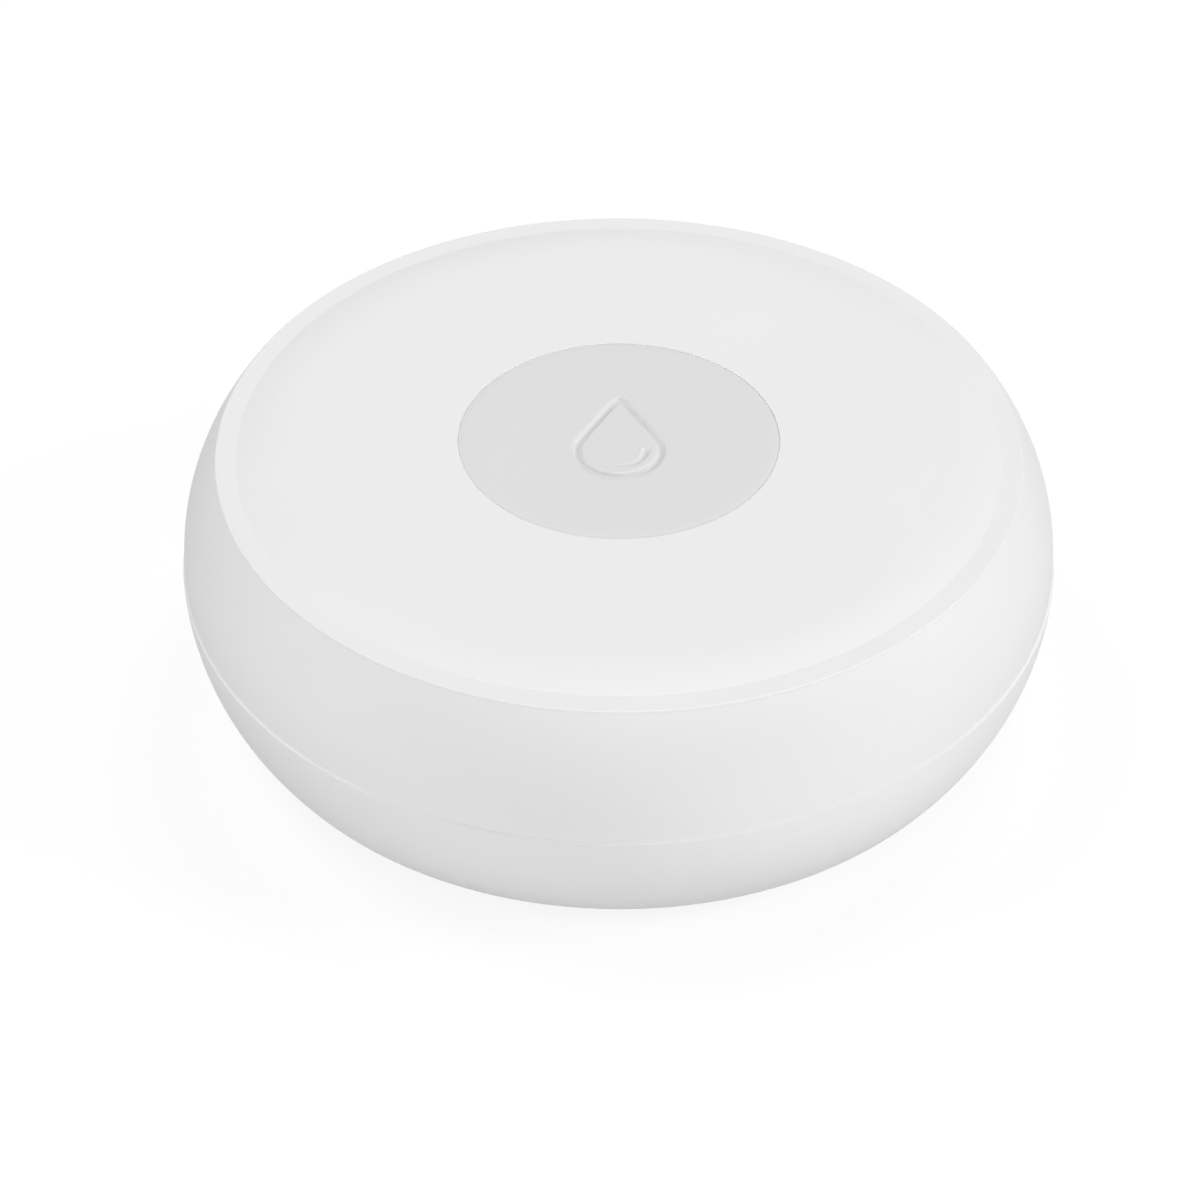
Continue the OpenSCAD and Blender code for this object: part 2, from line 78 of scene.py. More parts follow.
# Closed outline through corners (x, y, radius). A corner becomes an arc that touches both its sides:
# start + radius * (side * sin t + normal * (1 - cos t)), with t from 0 to the corner's turn.
# Two more points on each side, close to its arcs, keep the side's shading flat.
def roundedOutline(corners, steps=5):
    x, y, radius = np.array(corners, float).T
    spot = x + 1j * y
    into, out = spot - np.roll(spot, 1), np.roll(spot, -1) - spot
    into, out = into / abs(into), out / abs(out)
    turn = np.angle(out / into)
    reach = radius * np.tan(abs(turn) / 2)
    start, end = spot - into * reach, spot + out * reach
    t = np.linspace(0, 1, steps + 1) * abs(turn)[:, None]
    bend = np.sin(t) + 1j * np.sign(turn)[:, None] * (1 - np.cos(t))
    arcs = start[:, None] + (radius * into)[:, None] * bend
    side = np.roll(start, -1) - end
    length = np.maximum(abs(side), 1e-9)
    furthest = 0.25  # of a side, from its end
    near = np.minimum(furthest, radius / 2 / length)
    far = 1 - np.minimum(furthest, np.roll(radius, -1) / 2 / length)
    sides = end[:, None] + side[:, None] * np.stack([near, far], 1)
    loop = np.concatenate([arcs, sides], 1).ravel()
    loop = loop[abs(loop - np.roll(loop, -1)) > samePoint]
    return np.column_stack([loop.real, loop.imag])


# Profile (r, z) carried round an upright axis: (r cos a, r sin a, z)
def turned(profile, columns, centre=(0, 0)):
    a = np.linspace(0, 2 * np.pi, columns, endpoint=False)
    r, z = profile[:, :1], profile[:, 1:]
    return np.stack([centre[0] + r * np.cos(a), centre[1] + r * np.sin(a), z + 0 * a], -1)


# Places round the middle at one radius, one for each angle in degrees
def spotsAround(radius, angles):
    a = np.radians(angles)
    return np.column_stack([radius * np.cos(a), radius * np.sin(a)])


# Faces of a grid of points; a wrapped direction joins its last line to its first
def gridFaces(rows, columns, wrapRows, wrapColumns):
    i = np.arange(rows if wrapRows else rows - 1)[:, None]
    j = np.arange(columns if wrapColumns else columns - 1)[None]
    down, right = (i + 1) % rows, (j + 1) % columns
    corners = [i * columns + j, i * columns + right, down * columns + right, down * columns + j]
    return np.stack(corners, -1).reshape(-1, 4)


# One object from surfaces (grid, wrapRows, wrapColumns) in millimetres, merged where they meet
def makePiece(name, surfaces, finish, body, node):
    points, faces, first = [], [], 0
    for grid, wrapRows, wrapColumns in surfaces:
        points.append(grid.reshape(-1, 3) * mm)
        faces.append(gridFaces(*grid.shape[:2], wrapRows, wrapColumns) + first)
        first += len(points[-1])
    mesh = bpy.data.meshes.new(name)
    mesh.from_pydata(np.concatenate(points).tolist(), [], np.concatenate(faces).tolist())
    work = bmesh.new()
    work.from_mesh(mesh)
    bmesh.ops.remove_doubles(work, verts=work.verts, dist=mergeDistance)
    bmesh.ops.dissolve_degenerate(work, edges=work.edges, dist=flatEdge)
    bmesh.ops.recalc_face_normals(work, faces=work.faces)
    work.to_mesh(mesh)
    work.free()
    mesh.polygons.foreach_set("use_smooth", np.ones(len(mesh.polygons), bool))
    mesh.set_sharp_from_angle(angle=math.radians(smoothAngle))
    mesh.materials.append(finish.material)
    piece = bpy.data.objects.new(name, mesh)
    bpy.context.scene.collection.objects.link(piece)
    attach(piece, body)
    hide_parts(node)
    print("piece:", name, len(mesh.polygons), "faces")
    return piece


# Nodes of a material are added through this small holder
class Finish:
    def __init__(self, name, metallic=0.0, specular=0.5):
        self.material = bpy.data.materials.new(name)
        self.material.use_nodes = True
        self.nodes, self.links = self.material.node_tree.nodes, self.material.node_tree.links
        self.shader = self.nodes["Principled BSDF"]
        self.shader.inputs["Metallic"].default_value = metallic
        self.shader.inputs["Specular IOR Level"].default_value = specular
        self.place = self.nodes.new("ShaderNodeTexCoord").outputs["Object"]

    def add(self, kind, **inputs):
        node = self.nodes.new(kind)
        for key, value in inputs.items():
            self.feed(node.inputs[key], value)
        return node

    def feed(self, socket, value):
        if isinstance(value, bpy.types.NodeSocket):
            self.links.new(value, socket)
        else:
            socket.default_value = value

    # Noise whose marks are about this many millimetres across
    def noise(self, across, detail=2.0):
        node = self.add("ShaderNodeTexNoise", Scale=1 / (across * mm), Detail=detail)
        self.links.new(self.place, node.inputs["Vector"])
        return node.outputs["Fac"]

    def math(self, operation, first, second=0.0):
        node = self.nodes.new("ShaderNodeMath")
        node.operation = operation
        self.feed(node.inputs[0], first)
        self.feed(node.inputs[1], second)
        return node.outputs[0]

    # Value from low to high as the source goes from one level to another
    def ranged(self, source, low, high, fromLow=0.3, fromHigh=0.7):
        node = self.add("ShaderNodeMapRange", Value=source)
        keys = ("From Min", "From Max", "To Min", "To Max")
        for key, value in zip(keys, (fromLow, fromHigh, low, high)):
            node.inputs[key].default_value = value
        return node.outputs["Result"]

    def blend(self, factor, first, second):
        node = self.nodes.new("ShaderNodeMix")
        node.data_type = "RGBA"
        self.feed(node.inputs["Factor"], factor)
        for key, colour in (("A", first), ("B", second)):
            socket = next(s for s in node.inputs if s.name == key and s.type == "RGBA")
            socket.default_value = (*colour, 1)
        return next(s for s in node.outputs if s.type == "RGBA")

    def colour(self, source):
        self.links.new(source, self.shader.inputs["Base Color"])

    def rough(self, source):
        self.links.new(source, self.shader.inputs["Roughness"])

    # Relief from a height source, so many millimetres for one unit of it. It takes the place of any
    # relief set before.
    def relief(self, source, height):
        node = self.add("ShaderNodeBump", Strength=1.0, Distance=height * mm, Height=source)
        self.links.new(node.outputs["Normal"], self.shader.inputs["Normal"])


# Colour that drifts over some millimetres, with a fine grain in gloss and relief
def grainedFinish(name, colour, drift, roughness, grain, relief, metallic=0.0, specular=0.5):
    cloud, glossSpread = 9, 0.06
    finish = Finish(name, metallic, specular)
    clouds = finish.ranged(finish.noise(cloud, detail=4), 0, 1)
    dark, light = np.array(colour) * (1 - drift), np.minimum(np.array(colour) * (1 + drift), 1)
    finish.colour(finish.blend(clouds, dark, light))
    fine = finish.noise(grain, detail=3)
    finish.rough(finish.ranged(fine, roughness - glossSpread, roughness + glossSpread))
    finish.relief(fine, relief)
    return finish


# Distance from the nearest of some places that lie alike in all four quarters
def spotDistance(finish, x, y):
    node = finish.add("ShaderNodeSeparateXYZ", Vector=finish.place)
    aside = finish.math("SUBTRACT", finish.math("ABSOLUTE", node.outputs["X"]), x * mm)
    along = finish.math("SUBTRACT", finish.math("ABSOLUTE", node.outputs["Y"]), y * mm)
    squares = [finish.math("POWER", way, 2) for way in (aside, along)]
    return finish.math("SQRT", finish.math("ADD", *squares))


# Fine rings that a lathe leaves round each place, instead of the grain's relief
def ringRelief(finish, distance, pitch, height):
    waves = finish.math("SINE", finish.math("MULTIPLY", distance, 2 * math.pi / (pitch * mm)))
    finish.relief(waves, height)


# Sizes of the housing, from the CAD model where it has them
housing = dict(
    radius=cadBox("lower_shell")[1][0],
    crownHeight=cadBox("top_cover")[1][2],
    seamHeight=cadBox("upper_shell")[0][2],
    baseHeight=cadBox("lower_shell")[0][2],
    deckHeight=cadBox("top_cover")[0][2],
    crownRise=0.28,
    lipInset=2.36,
    seamStep=0.12,                  # how far the lower shell stands out at the seam
    upperBulge=11.6,
    lowerBulge=12.5,
    baseRound=1.8,
    ring=18.2,                      # circle of the feet, screws and probes
    footAngles=[60, 120, 240, 300],
    screwAngles=[30, 150, 210, 330],
    probeAngles=[0, 180],
    postAngles=[90, 225, 315],
    plainAngles=[90, 270],          # base sectors without a socket
)
seamZ, crownZ = housing["seamHeight"], housing["crownHeight"]
baseZ, deckZ = housing["baseHeight"], housing["deckHeight"]
lipZ = crownZ - housing["crownRise"]
lipRadius = housing["radius"] - housing["lipInset"]
seamRadius = housing["radius"] - housing["seamStep"]
footSpots = spotsAround(housing["ring"], housing["footAngles"])
screwSpots = spotsAround(housing["ring"], housing["screwAngles"])
probeSpots = spotsAround(housing["ring"], housing["probeAngles"])

# Centre of the bulge above the seam, from its two ends and its radius
seamEnd, lipEnd = np.array([seamRadius, seamZ]), np.array([lipRadius, lipZ])
chord = lipEnd - seamEnd
chordOut = np.array([chord[1], -chord[0]]) / np.hypot(*chord)
centreDepth = math.sqrt(housing["upperBulge"] ** 2 - chord @ chord / 4)
upperCentre = (seamEnd + lipEnd) / 2 - chordOut * centreDepth


# Radius of the upper bulge at a height
def upperRadius(z):
    return upperCentre[0] + np.sqrt(housing["upperBulge"] ** 2 - (z - upperCentre[1]) ** 2)


# Finishes of the outer pieces
whitePlastic = grainedFinish("white_plastic", (0.83, 0.83, 0.83), drift=0.006, roughness=0.58,
                             grain=0.16, relief=0.0012, specular=0.06)
greyPlastic = grainedFinish("grey_plastic", (0.727, 0.727, 0.727), drift=0.008, roughness=0.58,
                            grain=0.16, relief=0.0014, specular=0.06)
footRubber = grainedFinish("foot_rubber", (0.4, 0.4, 0.41), drift=0.05, roughness=0.8,
                           grain=0.1, relief=0.006, specular=0.3)
probeSteel = grainedFinish("probe_steel", (0.72, 0.715, 0.705), drift=0.03, roughness=0.28,
                           grain=0.2, relief=0.0005, metallic=1.0)
ringRelief(probeSteel, spotDistance(probeSteel, housing["ring"], 0), pitch=0.09, height=0.0012)
screwSteel = grainedFinish("screw_steel", (0.62, 0.63, 0.65), drift=0.05, roughness=0.36,
                           grain=0.12, relief=0.002, metallic=1.0)
print("finishes of the outer pieces are ready")

# Top cover: the lip, the low crown inside it, the button's hole and the skirt below
topCover = dict(
    lipWidth=1.15, slopeWidth=2.8, edgeHeight=0.1, thickness=1.6, holeRadius=9.05,
    skirtRadius=20.64, skirtThickness=1.2, lipRound=0.08, crownRound=0.15, holeRound=0.015,
    jointRound=0.01, underRound=0.1, slopeSteps=24,
)
lipInner = lipRadius - topCover["lipWidth"]
crownFlat = lipInner - topCover["slopeWidth"]
crownArc = (topCover["slopeWidth"] ** 2 + housing["crownRise"] ** 2) / 2 / housing["crownRise"]
crownLean = math.degrees(math.asin(topCover["slopeWidth"] / crownArc))
jointZ = lipZ - topCover["edgeHeight"]
underZ = crownZ - topCover["thickness"]
skirtInner = topCover["skirtRadius"] - topCover["skirtThickness"]
slopeCentre = (crownFlat, crownZ - crownArc)
slopePoints = arcPoints(slopeCentre, crownArc, 90, 90 - crownLean, topCover["slopeSteps"])
coverOutline = roundedOutline([
    (topCover["holeRadius"], underZ, topCover["underRound"]),
    (topCover["holeRadius"], crownZ, topCover["holeRound"]),
    *plain(slopePoints[:-3]),  # two points give way to the round corner at the slope's foot
    (*slopePoints[-1], topCover["crownRound"]),
    (lipRadius, lipZ, topCover["lipRound"]),
    (upperRadius(jointZ), jointZ, topCover["jointRound"]),
    (topCover["skirtRadius"], jointZ, 0),
    (topCover["skirtRadius"], deckZ, 0),
    (skirtInner, deckZ, 0),
    (skirtInner, underZ, 0),
])
makePiece("top_cover_skin", [(turned(coverOutline, fullTurn), True, True)], whitePlastic,
          "housing", "top_cover")

# Upper shell: the bulge between the seam and the cover, the deck inside and four screw bosses
upperShell = dict(
    jointGap=0.002, rimRadius=20.74, deckHole=10.1, deckThickness=1.4, wallRadius=22, sealRadius=23.2,
    sealHeight=1.3, bossRadius=2.2, bossBore=1.05, boreRoof=0.05, rimRound=0.015, bulgeRows=46,
)
shellTop = jointZ - upperShell["jointGap"]
deckUnder = deckZ - upperShell["deckThickness"]
bulgeZ = np.linspace(seamZ, shellTop, upperShell["bulgeRows"])
bulgePoints = np.column_stack([upperRadius(bulgeZ), bulgeZ])
upperOutline = roundedOutline([
    *plain(bulgePoints[:-1]),
    (*bulgePoints[-1], upperShell["rimRound"]),
    (upperShell["rimRadius"], shellTop, 0),
    (upperShell["rimRadius"], deckZ, 0),
    (upperShell["deckHole"], deckZ, 0),
    (upperShell["deckHole"], deckUnder, 0),
    (upperShell["wallRadius"], deckUnder, 0),
    (upperShell["wallRadius"], seamZ + upperShell["sealHeight"], 0),
    (upperShell["sealRadius"], seamZ + upperShell["sealHeight"], 0),
    (upperShell["sealRadius"], seamZ, 0),
])
bossTop, boreTop = deckUnder + sunk, deckUnder - upperShell["boreRoof"]
bossOutline = np.array([
    (0, bossTop), (upperShell["bossRadius"], bossTop), (upperShell["bossRadius"], seamZ),
    (upperShell["bossBore"], seamZ), (upperShell["bossBore"], boreTop), (0, boreTop),
])
makePiece("upper_shell_skin",
          [(turned(upperOutline, fullTurn), True, True)]
          + [(turned(bossOutline, smallTurn, spot), False, True) for spot in screwSpots],
          whitePlastic, "housing", "upper_shell")

# Lower shell: the bulge below the seam with a small slope at its top, the rounded base with its sockets,
# the spigot and the cell's well
lowerShell = dict(
    wall=1.6, floorHeight=2, rimHeight=1.6, spigotIn=20.6, spigotOut=21.8, spigotTop=9.9,
    doorOpening=13.35, ledgeHeight=2.2, plugBore=11.55, grooveTop=4.05, wellRadius=10.3, wellTop=7.4,
    wellOut=11.5, collarOut=13.95, collarTop=5.25, seamRound=0.03, openingRound=0.18, socketRound=0.14,
    screwSocket=2.1, screwSeat=2.6, probeSocket=2.6, probeSeat=0.92, footSocket=2.6, footSeat=1,
    columnRadius=2.2, columnFoot=3.1, columnFootTop=3.6, columnTop=8.05, sleeveRadius=2.2, sleeveTop=5.3,
    postRing=15.2, postRadius=1.7, postTop=8.1, spigotRound=0.2,
    sideSteps=44, roundSteps=20, innerSteps=16,
)
lowerCentre = np.array([housing["radius"] - housing["lowerBulge"], seamZ])
roundZ = baseZ + housing["baseRound"]
centreGap = housing["lowerBulge"] - housing["baseRound"]
lean = math.degrees(math.asin((seamZ - roundZ) / centreGap))
roundCentre = np.array([lowerCentre[0] + centreGap * math.cos(math.radians(lean)), roundZ])
sidePoints = arcPoints(lowerCentre, housing["lowerBulge"], 0, -lean, lowerShell["sideSteps"])
roundPoints = arcPoints(roundCentre, housing["baseRound"], -lean, -90, lowerShell["roundSteps"])
innerBulge = housing["lowerBulge"] - lowerShell["wall"]
innerLean = math.degrees(math.asin((seamZ - lowerShell["floorHeight"]) / innerBulge))
rimLean = math.degrees(math.asin(lowerShell["rimHeight"] / innerBulge))
innerPoints = arcPoints(lowerCentre, innerBulge, -innerLean, -rimLean, lowerShell["innerSteps"])
openingEdge = lowerShell["doorOpening"] + lowerShell["openingRound"]
lowerOutline = roundedOutline([
    (lowerShell["doorOpening"], baseZ, lowerShell["openingRound"]),
    (lowerShell["doorOpening"], lowerShell["ledgeHeight"], 0),
    (lowerShell["plugBore"], lowerShell["ledgeHeight"], 0),
    (lowerShell["plugBore"], lowerShell["grooveTop"], 0),
    (lowerShell["wellRadius"], lowerShell["grooveTop"], 0),
    (lowerShell["wellRadius"], lowerShell["wellTop"], 0),
    (lowerShell["wellOut"], lowerShell["wellTop"], 0),
    (lowerShell["wellOut"], lowerShell["collarTop"], 0),
    (lowerShell["collarOut"], lowerShell["collarTop"], 0),
    (lowerShell["collarOut"], lowerShell["floorHeight"], 0),
    *plain(innerPoints),
    (lowerShell["spigotIn"], seamZ - lowerShell["rimHeight"], 0),
    (lowerShell["spigotIn"], lowerShell["spigotTop"], lowerShell["spigotRound"]),
    (lowerShell["spigotOut"], lowerShell["spigotTop"], lowerShell["spigotRound"]),
    (lowerShell["spigotOut"], seamZ, 0),
    (seamRadius, seamZ, 0),
    (housing["radius"], seamZ - housing["seamStep"], lowerShell["seamRound"]),
    *plain(sidePoints[1:]),
    *plain(roundPoints[1:]),
])
# The last point lies on the flat base, which is made apart with its sockets
lowerOutline = lowerOutline[:-1]


# Flat base as twelve sectors. In a sector the point at share v of the way from its socket to its border
# is middle + direction * (socket + (border - socket) * v), and inside the socket the rows go up its wall.
def baseSector(angle, socket, seat):
    half, sideSteps, arcSteps, bendSteps = 15, 8, 30, 5
    rowCount, crowding, nearCorner = 7, 1.5, 0.1
    outer, inner = roundCentre[0], openingEdge
    swing = np.linspace(-half, half, arcSteps, endpoint=False)
    slide = np.linspace(outer, inner, sideSteps, endpoint=False)
    radius = np.concatenate([0 * swing + outer, slide, 0 * swing + inner, inner + outer - slide])
    turn = np.radians(np.concatenate([swing, 0 * slide + half, -swing, 0 * slide - half]))
    border = radius * np.exp(1j * turn) - housing["ring"]
    far, direction = abs(border), border / abs(border)
    edge = lowerShell["socketRound"] if socket else 0
    share = np.linspace(1, 0, rowCount)[:, None] ** crowding
    flat = (socket + edge) + (far - socket - edge) * share
    rows, heights = [flat], [0 * share + baseZ]
    if socket:
        wall = arcPoints((socket + edge, baseZ + edge), edge, -90, -180, bendSteps)[1:]
        down = np.array([
            (socket, seat - nearCorner), (socket, seat), (socket - nearCorner, seat), (0, seat),
        ])
        wall = np.vstack([wall, down])
        rows.append(wall[:, :1] + 0 * far)
        heights.append(wall[:, 1:])
    reach, height = np.vstack(rows), np.vstack(heights)
    place = (housing["ring"] + direction * reach) * np.exp(1j * math.radians(angle))
    return np.stack([place.real, place.imag, height + 0 * far], -1)


sockets = {a: (0, 0) for a in housing["plainAngles"]}
sockets.update({a: (lowerShell["screwSocket"], lowerShell["screwSeat"]) for a in housing["screwAngles"]})
sockets.update({a: (lowerShell["probeSocket"], lowerShell["probeSeat"]) for a in housing["probeAngles"]})
sockets.update({a: (lowerShell["footSocket"], lowerShell["footSeat"]) for a in housing["footAngles"]})
rootZ = lowerShell["floorHeight"] - sunk


# Profile of a rod that stands on the inner floor, from steps (radius, top) that get thinner
def rodOutline(*steps):
    points, low = [(0, rootZ)], rootZ
    for radius, top in steps:
        points += [(radius, low), (radius, top)]
        low = top
    return np.array(points + [(0, low)])


columnOutline = rodOutline((lowerShell["columnFoot"], lowerShell["columnFootTop"]),
                           (lowerShell["columnRadius"], lowerShell["columnTop"]))
sleeveOutline = rodOutline((lowerShell["sleeveRadius"], lowerShell["sleeveTop"]))
postOutline = rodOutline((lowerShell["postRadius"], lowerShell["postTop"]))
lowerSurfaces = [(turned(lowerOutline, fullTurn), False, True)]
lowerSurfaces += [(baseSector(angle, *socket), False, True) for angle, socket in sockets.items()]
lowerSurfaces += [
    (turned(outline, smallTurn, spot), False, True)
    for outline, spots in (
        (columnOutline, screwSpots),
        (sleeveOutline, probeSpots),
        (postOutline, spotsAround(lowerShell["postRing"], housing["postAngles"])),
    )
    for spot in spots
]
makePiece("lower_shell_skin", lowerSurfaces, whitePlastic, "housing", "lower_shell")

# Button: a face that falls a little at its edge, an engraved water drop, a shallow groove round it
# and a flange below
button = dict(
    radius=9.03, fall=0.035, fallWidth=0.7, edgeRound=0.02, grooveDepth=0.015, bodyRadius=9.045,
    flangeRadius=9.9, flangeTop=13.83, wall=1.1, stemRadius=2.2,
    dropRadius=2.36, dropTip=5, dropMiddle=-1.13, tipTurn=0.03, tipSpread=0.28,
    line=0.64, depth=0.17, floorShare=0.35,
    glintRadius=1.5, glintFrom=270, glintTo=357, glintThin=0.3, glintThick=0.6,
    fine=0.03, columns=600, middleRows=8, spreadRows=10, fallRows=12,
)
buttonLow = cadBox("button_cap")[0][2]


# Drop's outline at a size: radius / cos(lean - turn from the tip) on the flanks, the plain radius below,
# and a tip that is rounder outside the line
def dropOutline(size, turn):
    lean = math.acos(button["dropRadius"] / button["dropTip"])
    tipTurn = button["tipTurn"] + button["tipSpread"] * np.maximum(size - 1, 0)
    fromTip = np.hypot((turn + np.pi / 2) % (2 * np.pi) - np.pi, tipTurn)
    return size * button["dropRadius"] / np.cos(np.maximum(lean - fromTip, 0))


# Depth of a groove at a share of its half width: full on its floor, then 1 - 3 t^2 + 2 t^3 up its side
def grooveShape(share):
    t = np.clip((share - button["floorShare"]) / (1 - button["floorShare"]), 0, 1)
    return 1 - 3 * t ** 2 + 2 * t ** 3


# Depth of the glint, an arc inside the drop whose width and depth grow along it
def glintDepth(spot):
    turn = np.degrees(np.angle(spot)) % 360
    turn = np.where(turn < 90, turn + 360, turn)
    step = np.clip((turn - button["glintFrom"]) / (button["glintTo"] - button["glintFrom"]), 0, 1)
    turn = button["glintFrom"] + step * (button["glintTo"] - button["glintFrom"])
    width = button["glintThin"] + (button["glintThick"] - button["glintThin"]) * step
    away = abs(spot - button["glintRadius"] * np.exp(1j * np.radians(turn)))
    return button["depth"] * width / button["line"] * grooveShape(away / (width / 2))


# Face: rows that are drops of growing size, then rows that go over into the round edge.
# Near the edge the height falls with the cube of the way to it.
reach = button["line"] / 2 + button["fine"]
glintReach = button["glintThick"] / 2 + button["fine"]
sizes = np.concatenate([
    np.linspace(0, button["glintRadius"] - glintReach, button["middleRows"], endpoint=False),
    np.arange(button["glintRadius"] - glintReach, button["glintRadius"] + glintReach, button["fine"]),
    np.arange(button["dropRadius"] - reach, button["dropRadius"] + reach, button["fine"]),
])[:, None] / button["dropRadius"]
faceTurn = np.linspace(0, 2 * np.pi, button["columns"], endpoint=False)
dropRows = dropOutline(sizes, faceTurn) * np.exp(1j * faceTurn)
lineShare = abs(sizes - 1) * button["dropRadius"] / (button["line"] / 2)
dropZ = crownZ - np.maximum(button["depth"] * grooveShape(lineShare), glintDepth(dropRows))
dropRows = dropRows + 1j * button["dropMiddle"]
faceEdge = button["radius"] - button["edgeRound"]
fallStart = faceEdge - button["fallWidth"]
t = np.linspace(0, 1, button["spreadRows"])[1:-1, None]
spreadRows = dropRows[-1] + (fallStart * np.exp(1j * faceTurn) - dropRows[-1]) * t
fallShare = np.linspace(0, 1, button["fallRows"], endpoint=False)[:, None]
fallRows = (fallStart + button["fallWidth"] * fallShare) * np.exp(1j * faceTurn)
face = np.concatenate([dropRows, spreadRows, fallRows])
fallZ = crownZ - button["fall"] * fallShare ** 3 + 0 * faceTurn
faceZ = np.concatenate([dropZ, crownZ + 0 * spreadRows.real, fallZ])
edgeZ = crownZ - button["fall"]
grooveZ, roofZ = edgeZ - button["grooveDepth"], crownZ - button["wall"]
hollowRadius = button["radius"] - button["wall"]
buttonSide = roundedOutline([
    (0, edgeZ, 0),
    (button["radius"], edgeZ, button["edgeRound"]),
    (button["radius"], grooveZ, 0),
    (button["bodyRadius"], grooveZ, 0),
    (button["bodyRadius"], button["flangeTop"], 0),
    (button["flangeRadius"], button["flangeTop"], 0),
    (button["flangeRadius"], buttonLow, 0),
    (hollowRadius, buttonLow, 0),
    (hollowRadius, roofZ, 0),
    (button["stemRadius"], roofZ, 0),
    (button["stemRadius"], buttonLow, 0),
    (0, buttonLow, 0),
])
buttonSide = buttonSide[np.argmax(buttonSide[:, 0] > faceEdge - samePoint):]
buttonGrid = np.concatenate([
    np.stack([face.real, face.imag, faceZ], -1),
    turned(buttonSide, button["columns"]),
])
makePiece("button_face", [(buttonGrid, False, True)], greyPlastic,
          "button", "button_cap")

# Battery door: a flat face with a coin slot, a flange, a plug with a cup for the cell and three lugs
door = dict(
    slotLength=15, slotWidth=1.9, slotDepth=1.1, slotCorner=0.35, slotRound=0.16, cornerSteps=8,
    edgeRound=0.18, flangeTop=1.4, plugRadius=11.4, plugRound=0.1, cupRadius=8.8, cupFloor=2.3,
    lugAngles=[0, 120, 240], lugSpan=26, lugOut=12.6, lugLow=3.15, lugRoot=0.05, lugRows=14,
)
doorRadius, doorTop = cadBox("battery_door")[1][0], cadBox("battery_door")[1][2]


# Rounded rectangle as a loop of points equally far apart, which starts in the middle of its right side
def slotLoop(grow, columns):
    x, y = door["slotLength"] / 2 + grow, door["slotWidth"] / 2 + grow
    r = door["slotCorner"] + grow
    corners = [(x, 0, 0), (x, y, r), (-x, y, r), (-x, -y, r), (x, -y, r)]
    loop = roundedOutline(corners, door["cornerSteps"])
    loop = np.vstack([loop, loop[:1]])
    run = np.concatenate([[0], np.cumsum(np.hypot(*np.diff(loop, axis=0).T))])
    at = np.linspace(0, run[-1], columns, endpoint=False)
    return np.interp(at, run, loop[:, 0]) + 1j * np.interp(at, run, loop[:, 1])


# Face of the door: rows between a circle and the slot's loop, (1 - v) * circle + v * loop,
# then the slot's wall and floor. The floor's rows shrink to a line along its middle.
def doorFace():
    rowCount, crowding, bendSteps = 9, 0.7, 5
    nearCorner, endShrink = 0.1, 0.03
    circle = (doorRadius - door["edgeRound"]) * np.exp(2j * np.pi * np.arange(fullTurn) / fullTurn)
    rim = slotLoop(door["slotRound"], fullTurn)
    v = np.linspace(0, 1, rowCount)[:, None] ** crowding
    rows, heights = [(1 - v) * circle + v * rim], [0 * v + baseZ]
    bend = np.radians(np.linspace(0, 90, bendSteps + 1))[1:, None]
    edge = door["slotRound"]
    wall = slotLoop(0, fullTurn)
    rows.append(wall + (rim - wall) * (1 - np.sin(bend)))
    heights.append(baseZ + edge * (1 - np.cos(bend)))
    floor = baseZ + door["slotDepth"]
    shrink = np.array([[1], [1], [0.9], [0]])
    rows.append(wall.real * (1 - endShrink + endShrink * shrink) + 1j * wall.imag * shrink)
    heights.append(np.array([[floor - nearCorner], [floor], [floor], [floor]]))
    place, height = np.vstack(rows), np.vstack(heights)
    return np.stack([place.real, place.imag, height + 0 * place.real], -1)


# Lug: a block whose section is carried along an arc and closed at both ends
def doorLug(angle):
    a = np.radians(angle + np.linspace(-0.5, 0.5, door["lugRows"]) * door["lugSpan"])[:, None]
    root = door["plugRadius"] - door["lugRoot"]
    r = np.array([root, door["lugOut"], door["lugOut"], root])
    z = np.array([door["lugLow"], door["lugLow"], doorTop, doorTop])
    block = np.stack([r * np.cos(a), r * np.sin(a), z + 0 * a], -1)
    ends = block[[0, -1]].mean(1, keepdims=True) + 0 * block[[0, -1]]
    return np.concatenate([ends[:1], block, ends[1:]])


doorOutline = roundedOutline([
    (0, baseZ, 0),
    (doorRadius, baseZ, door["edgeRound"]),
    (doorRadius, door["flangeTop"], 0),
    (door["plugRadius"], door["flangeTop"], 0),
    (door["plugRadius"], doorTop, door["plugRound"]),
    (door["cupRadius"], doorTop, door["plugRound"]),
    (door["cupRadius"], door["cupFloor"], 0),
    (0, door["cupFloor"], 0),
])
edgeStart = np.argmax(np.isclose(doorOutline, (doorRadius - door["edgeRound"], baseZ)).all(1))
doorSurfaces = [(turned(doorOutline[edgeStart:], fullTurn), False, True), (doorFace(), False, True)]
doorSurfaces += [(doorLug(angle), False, True) for angle in door["lugAngles"]]
makePiece("battery_door_skin", doorSurfaces, whitePlastic, "door", "battery_door")

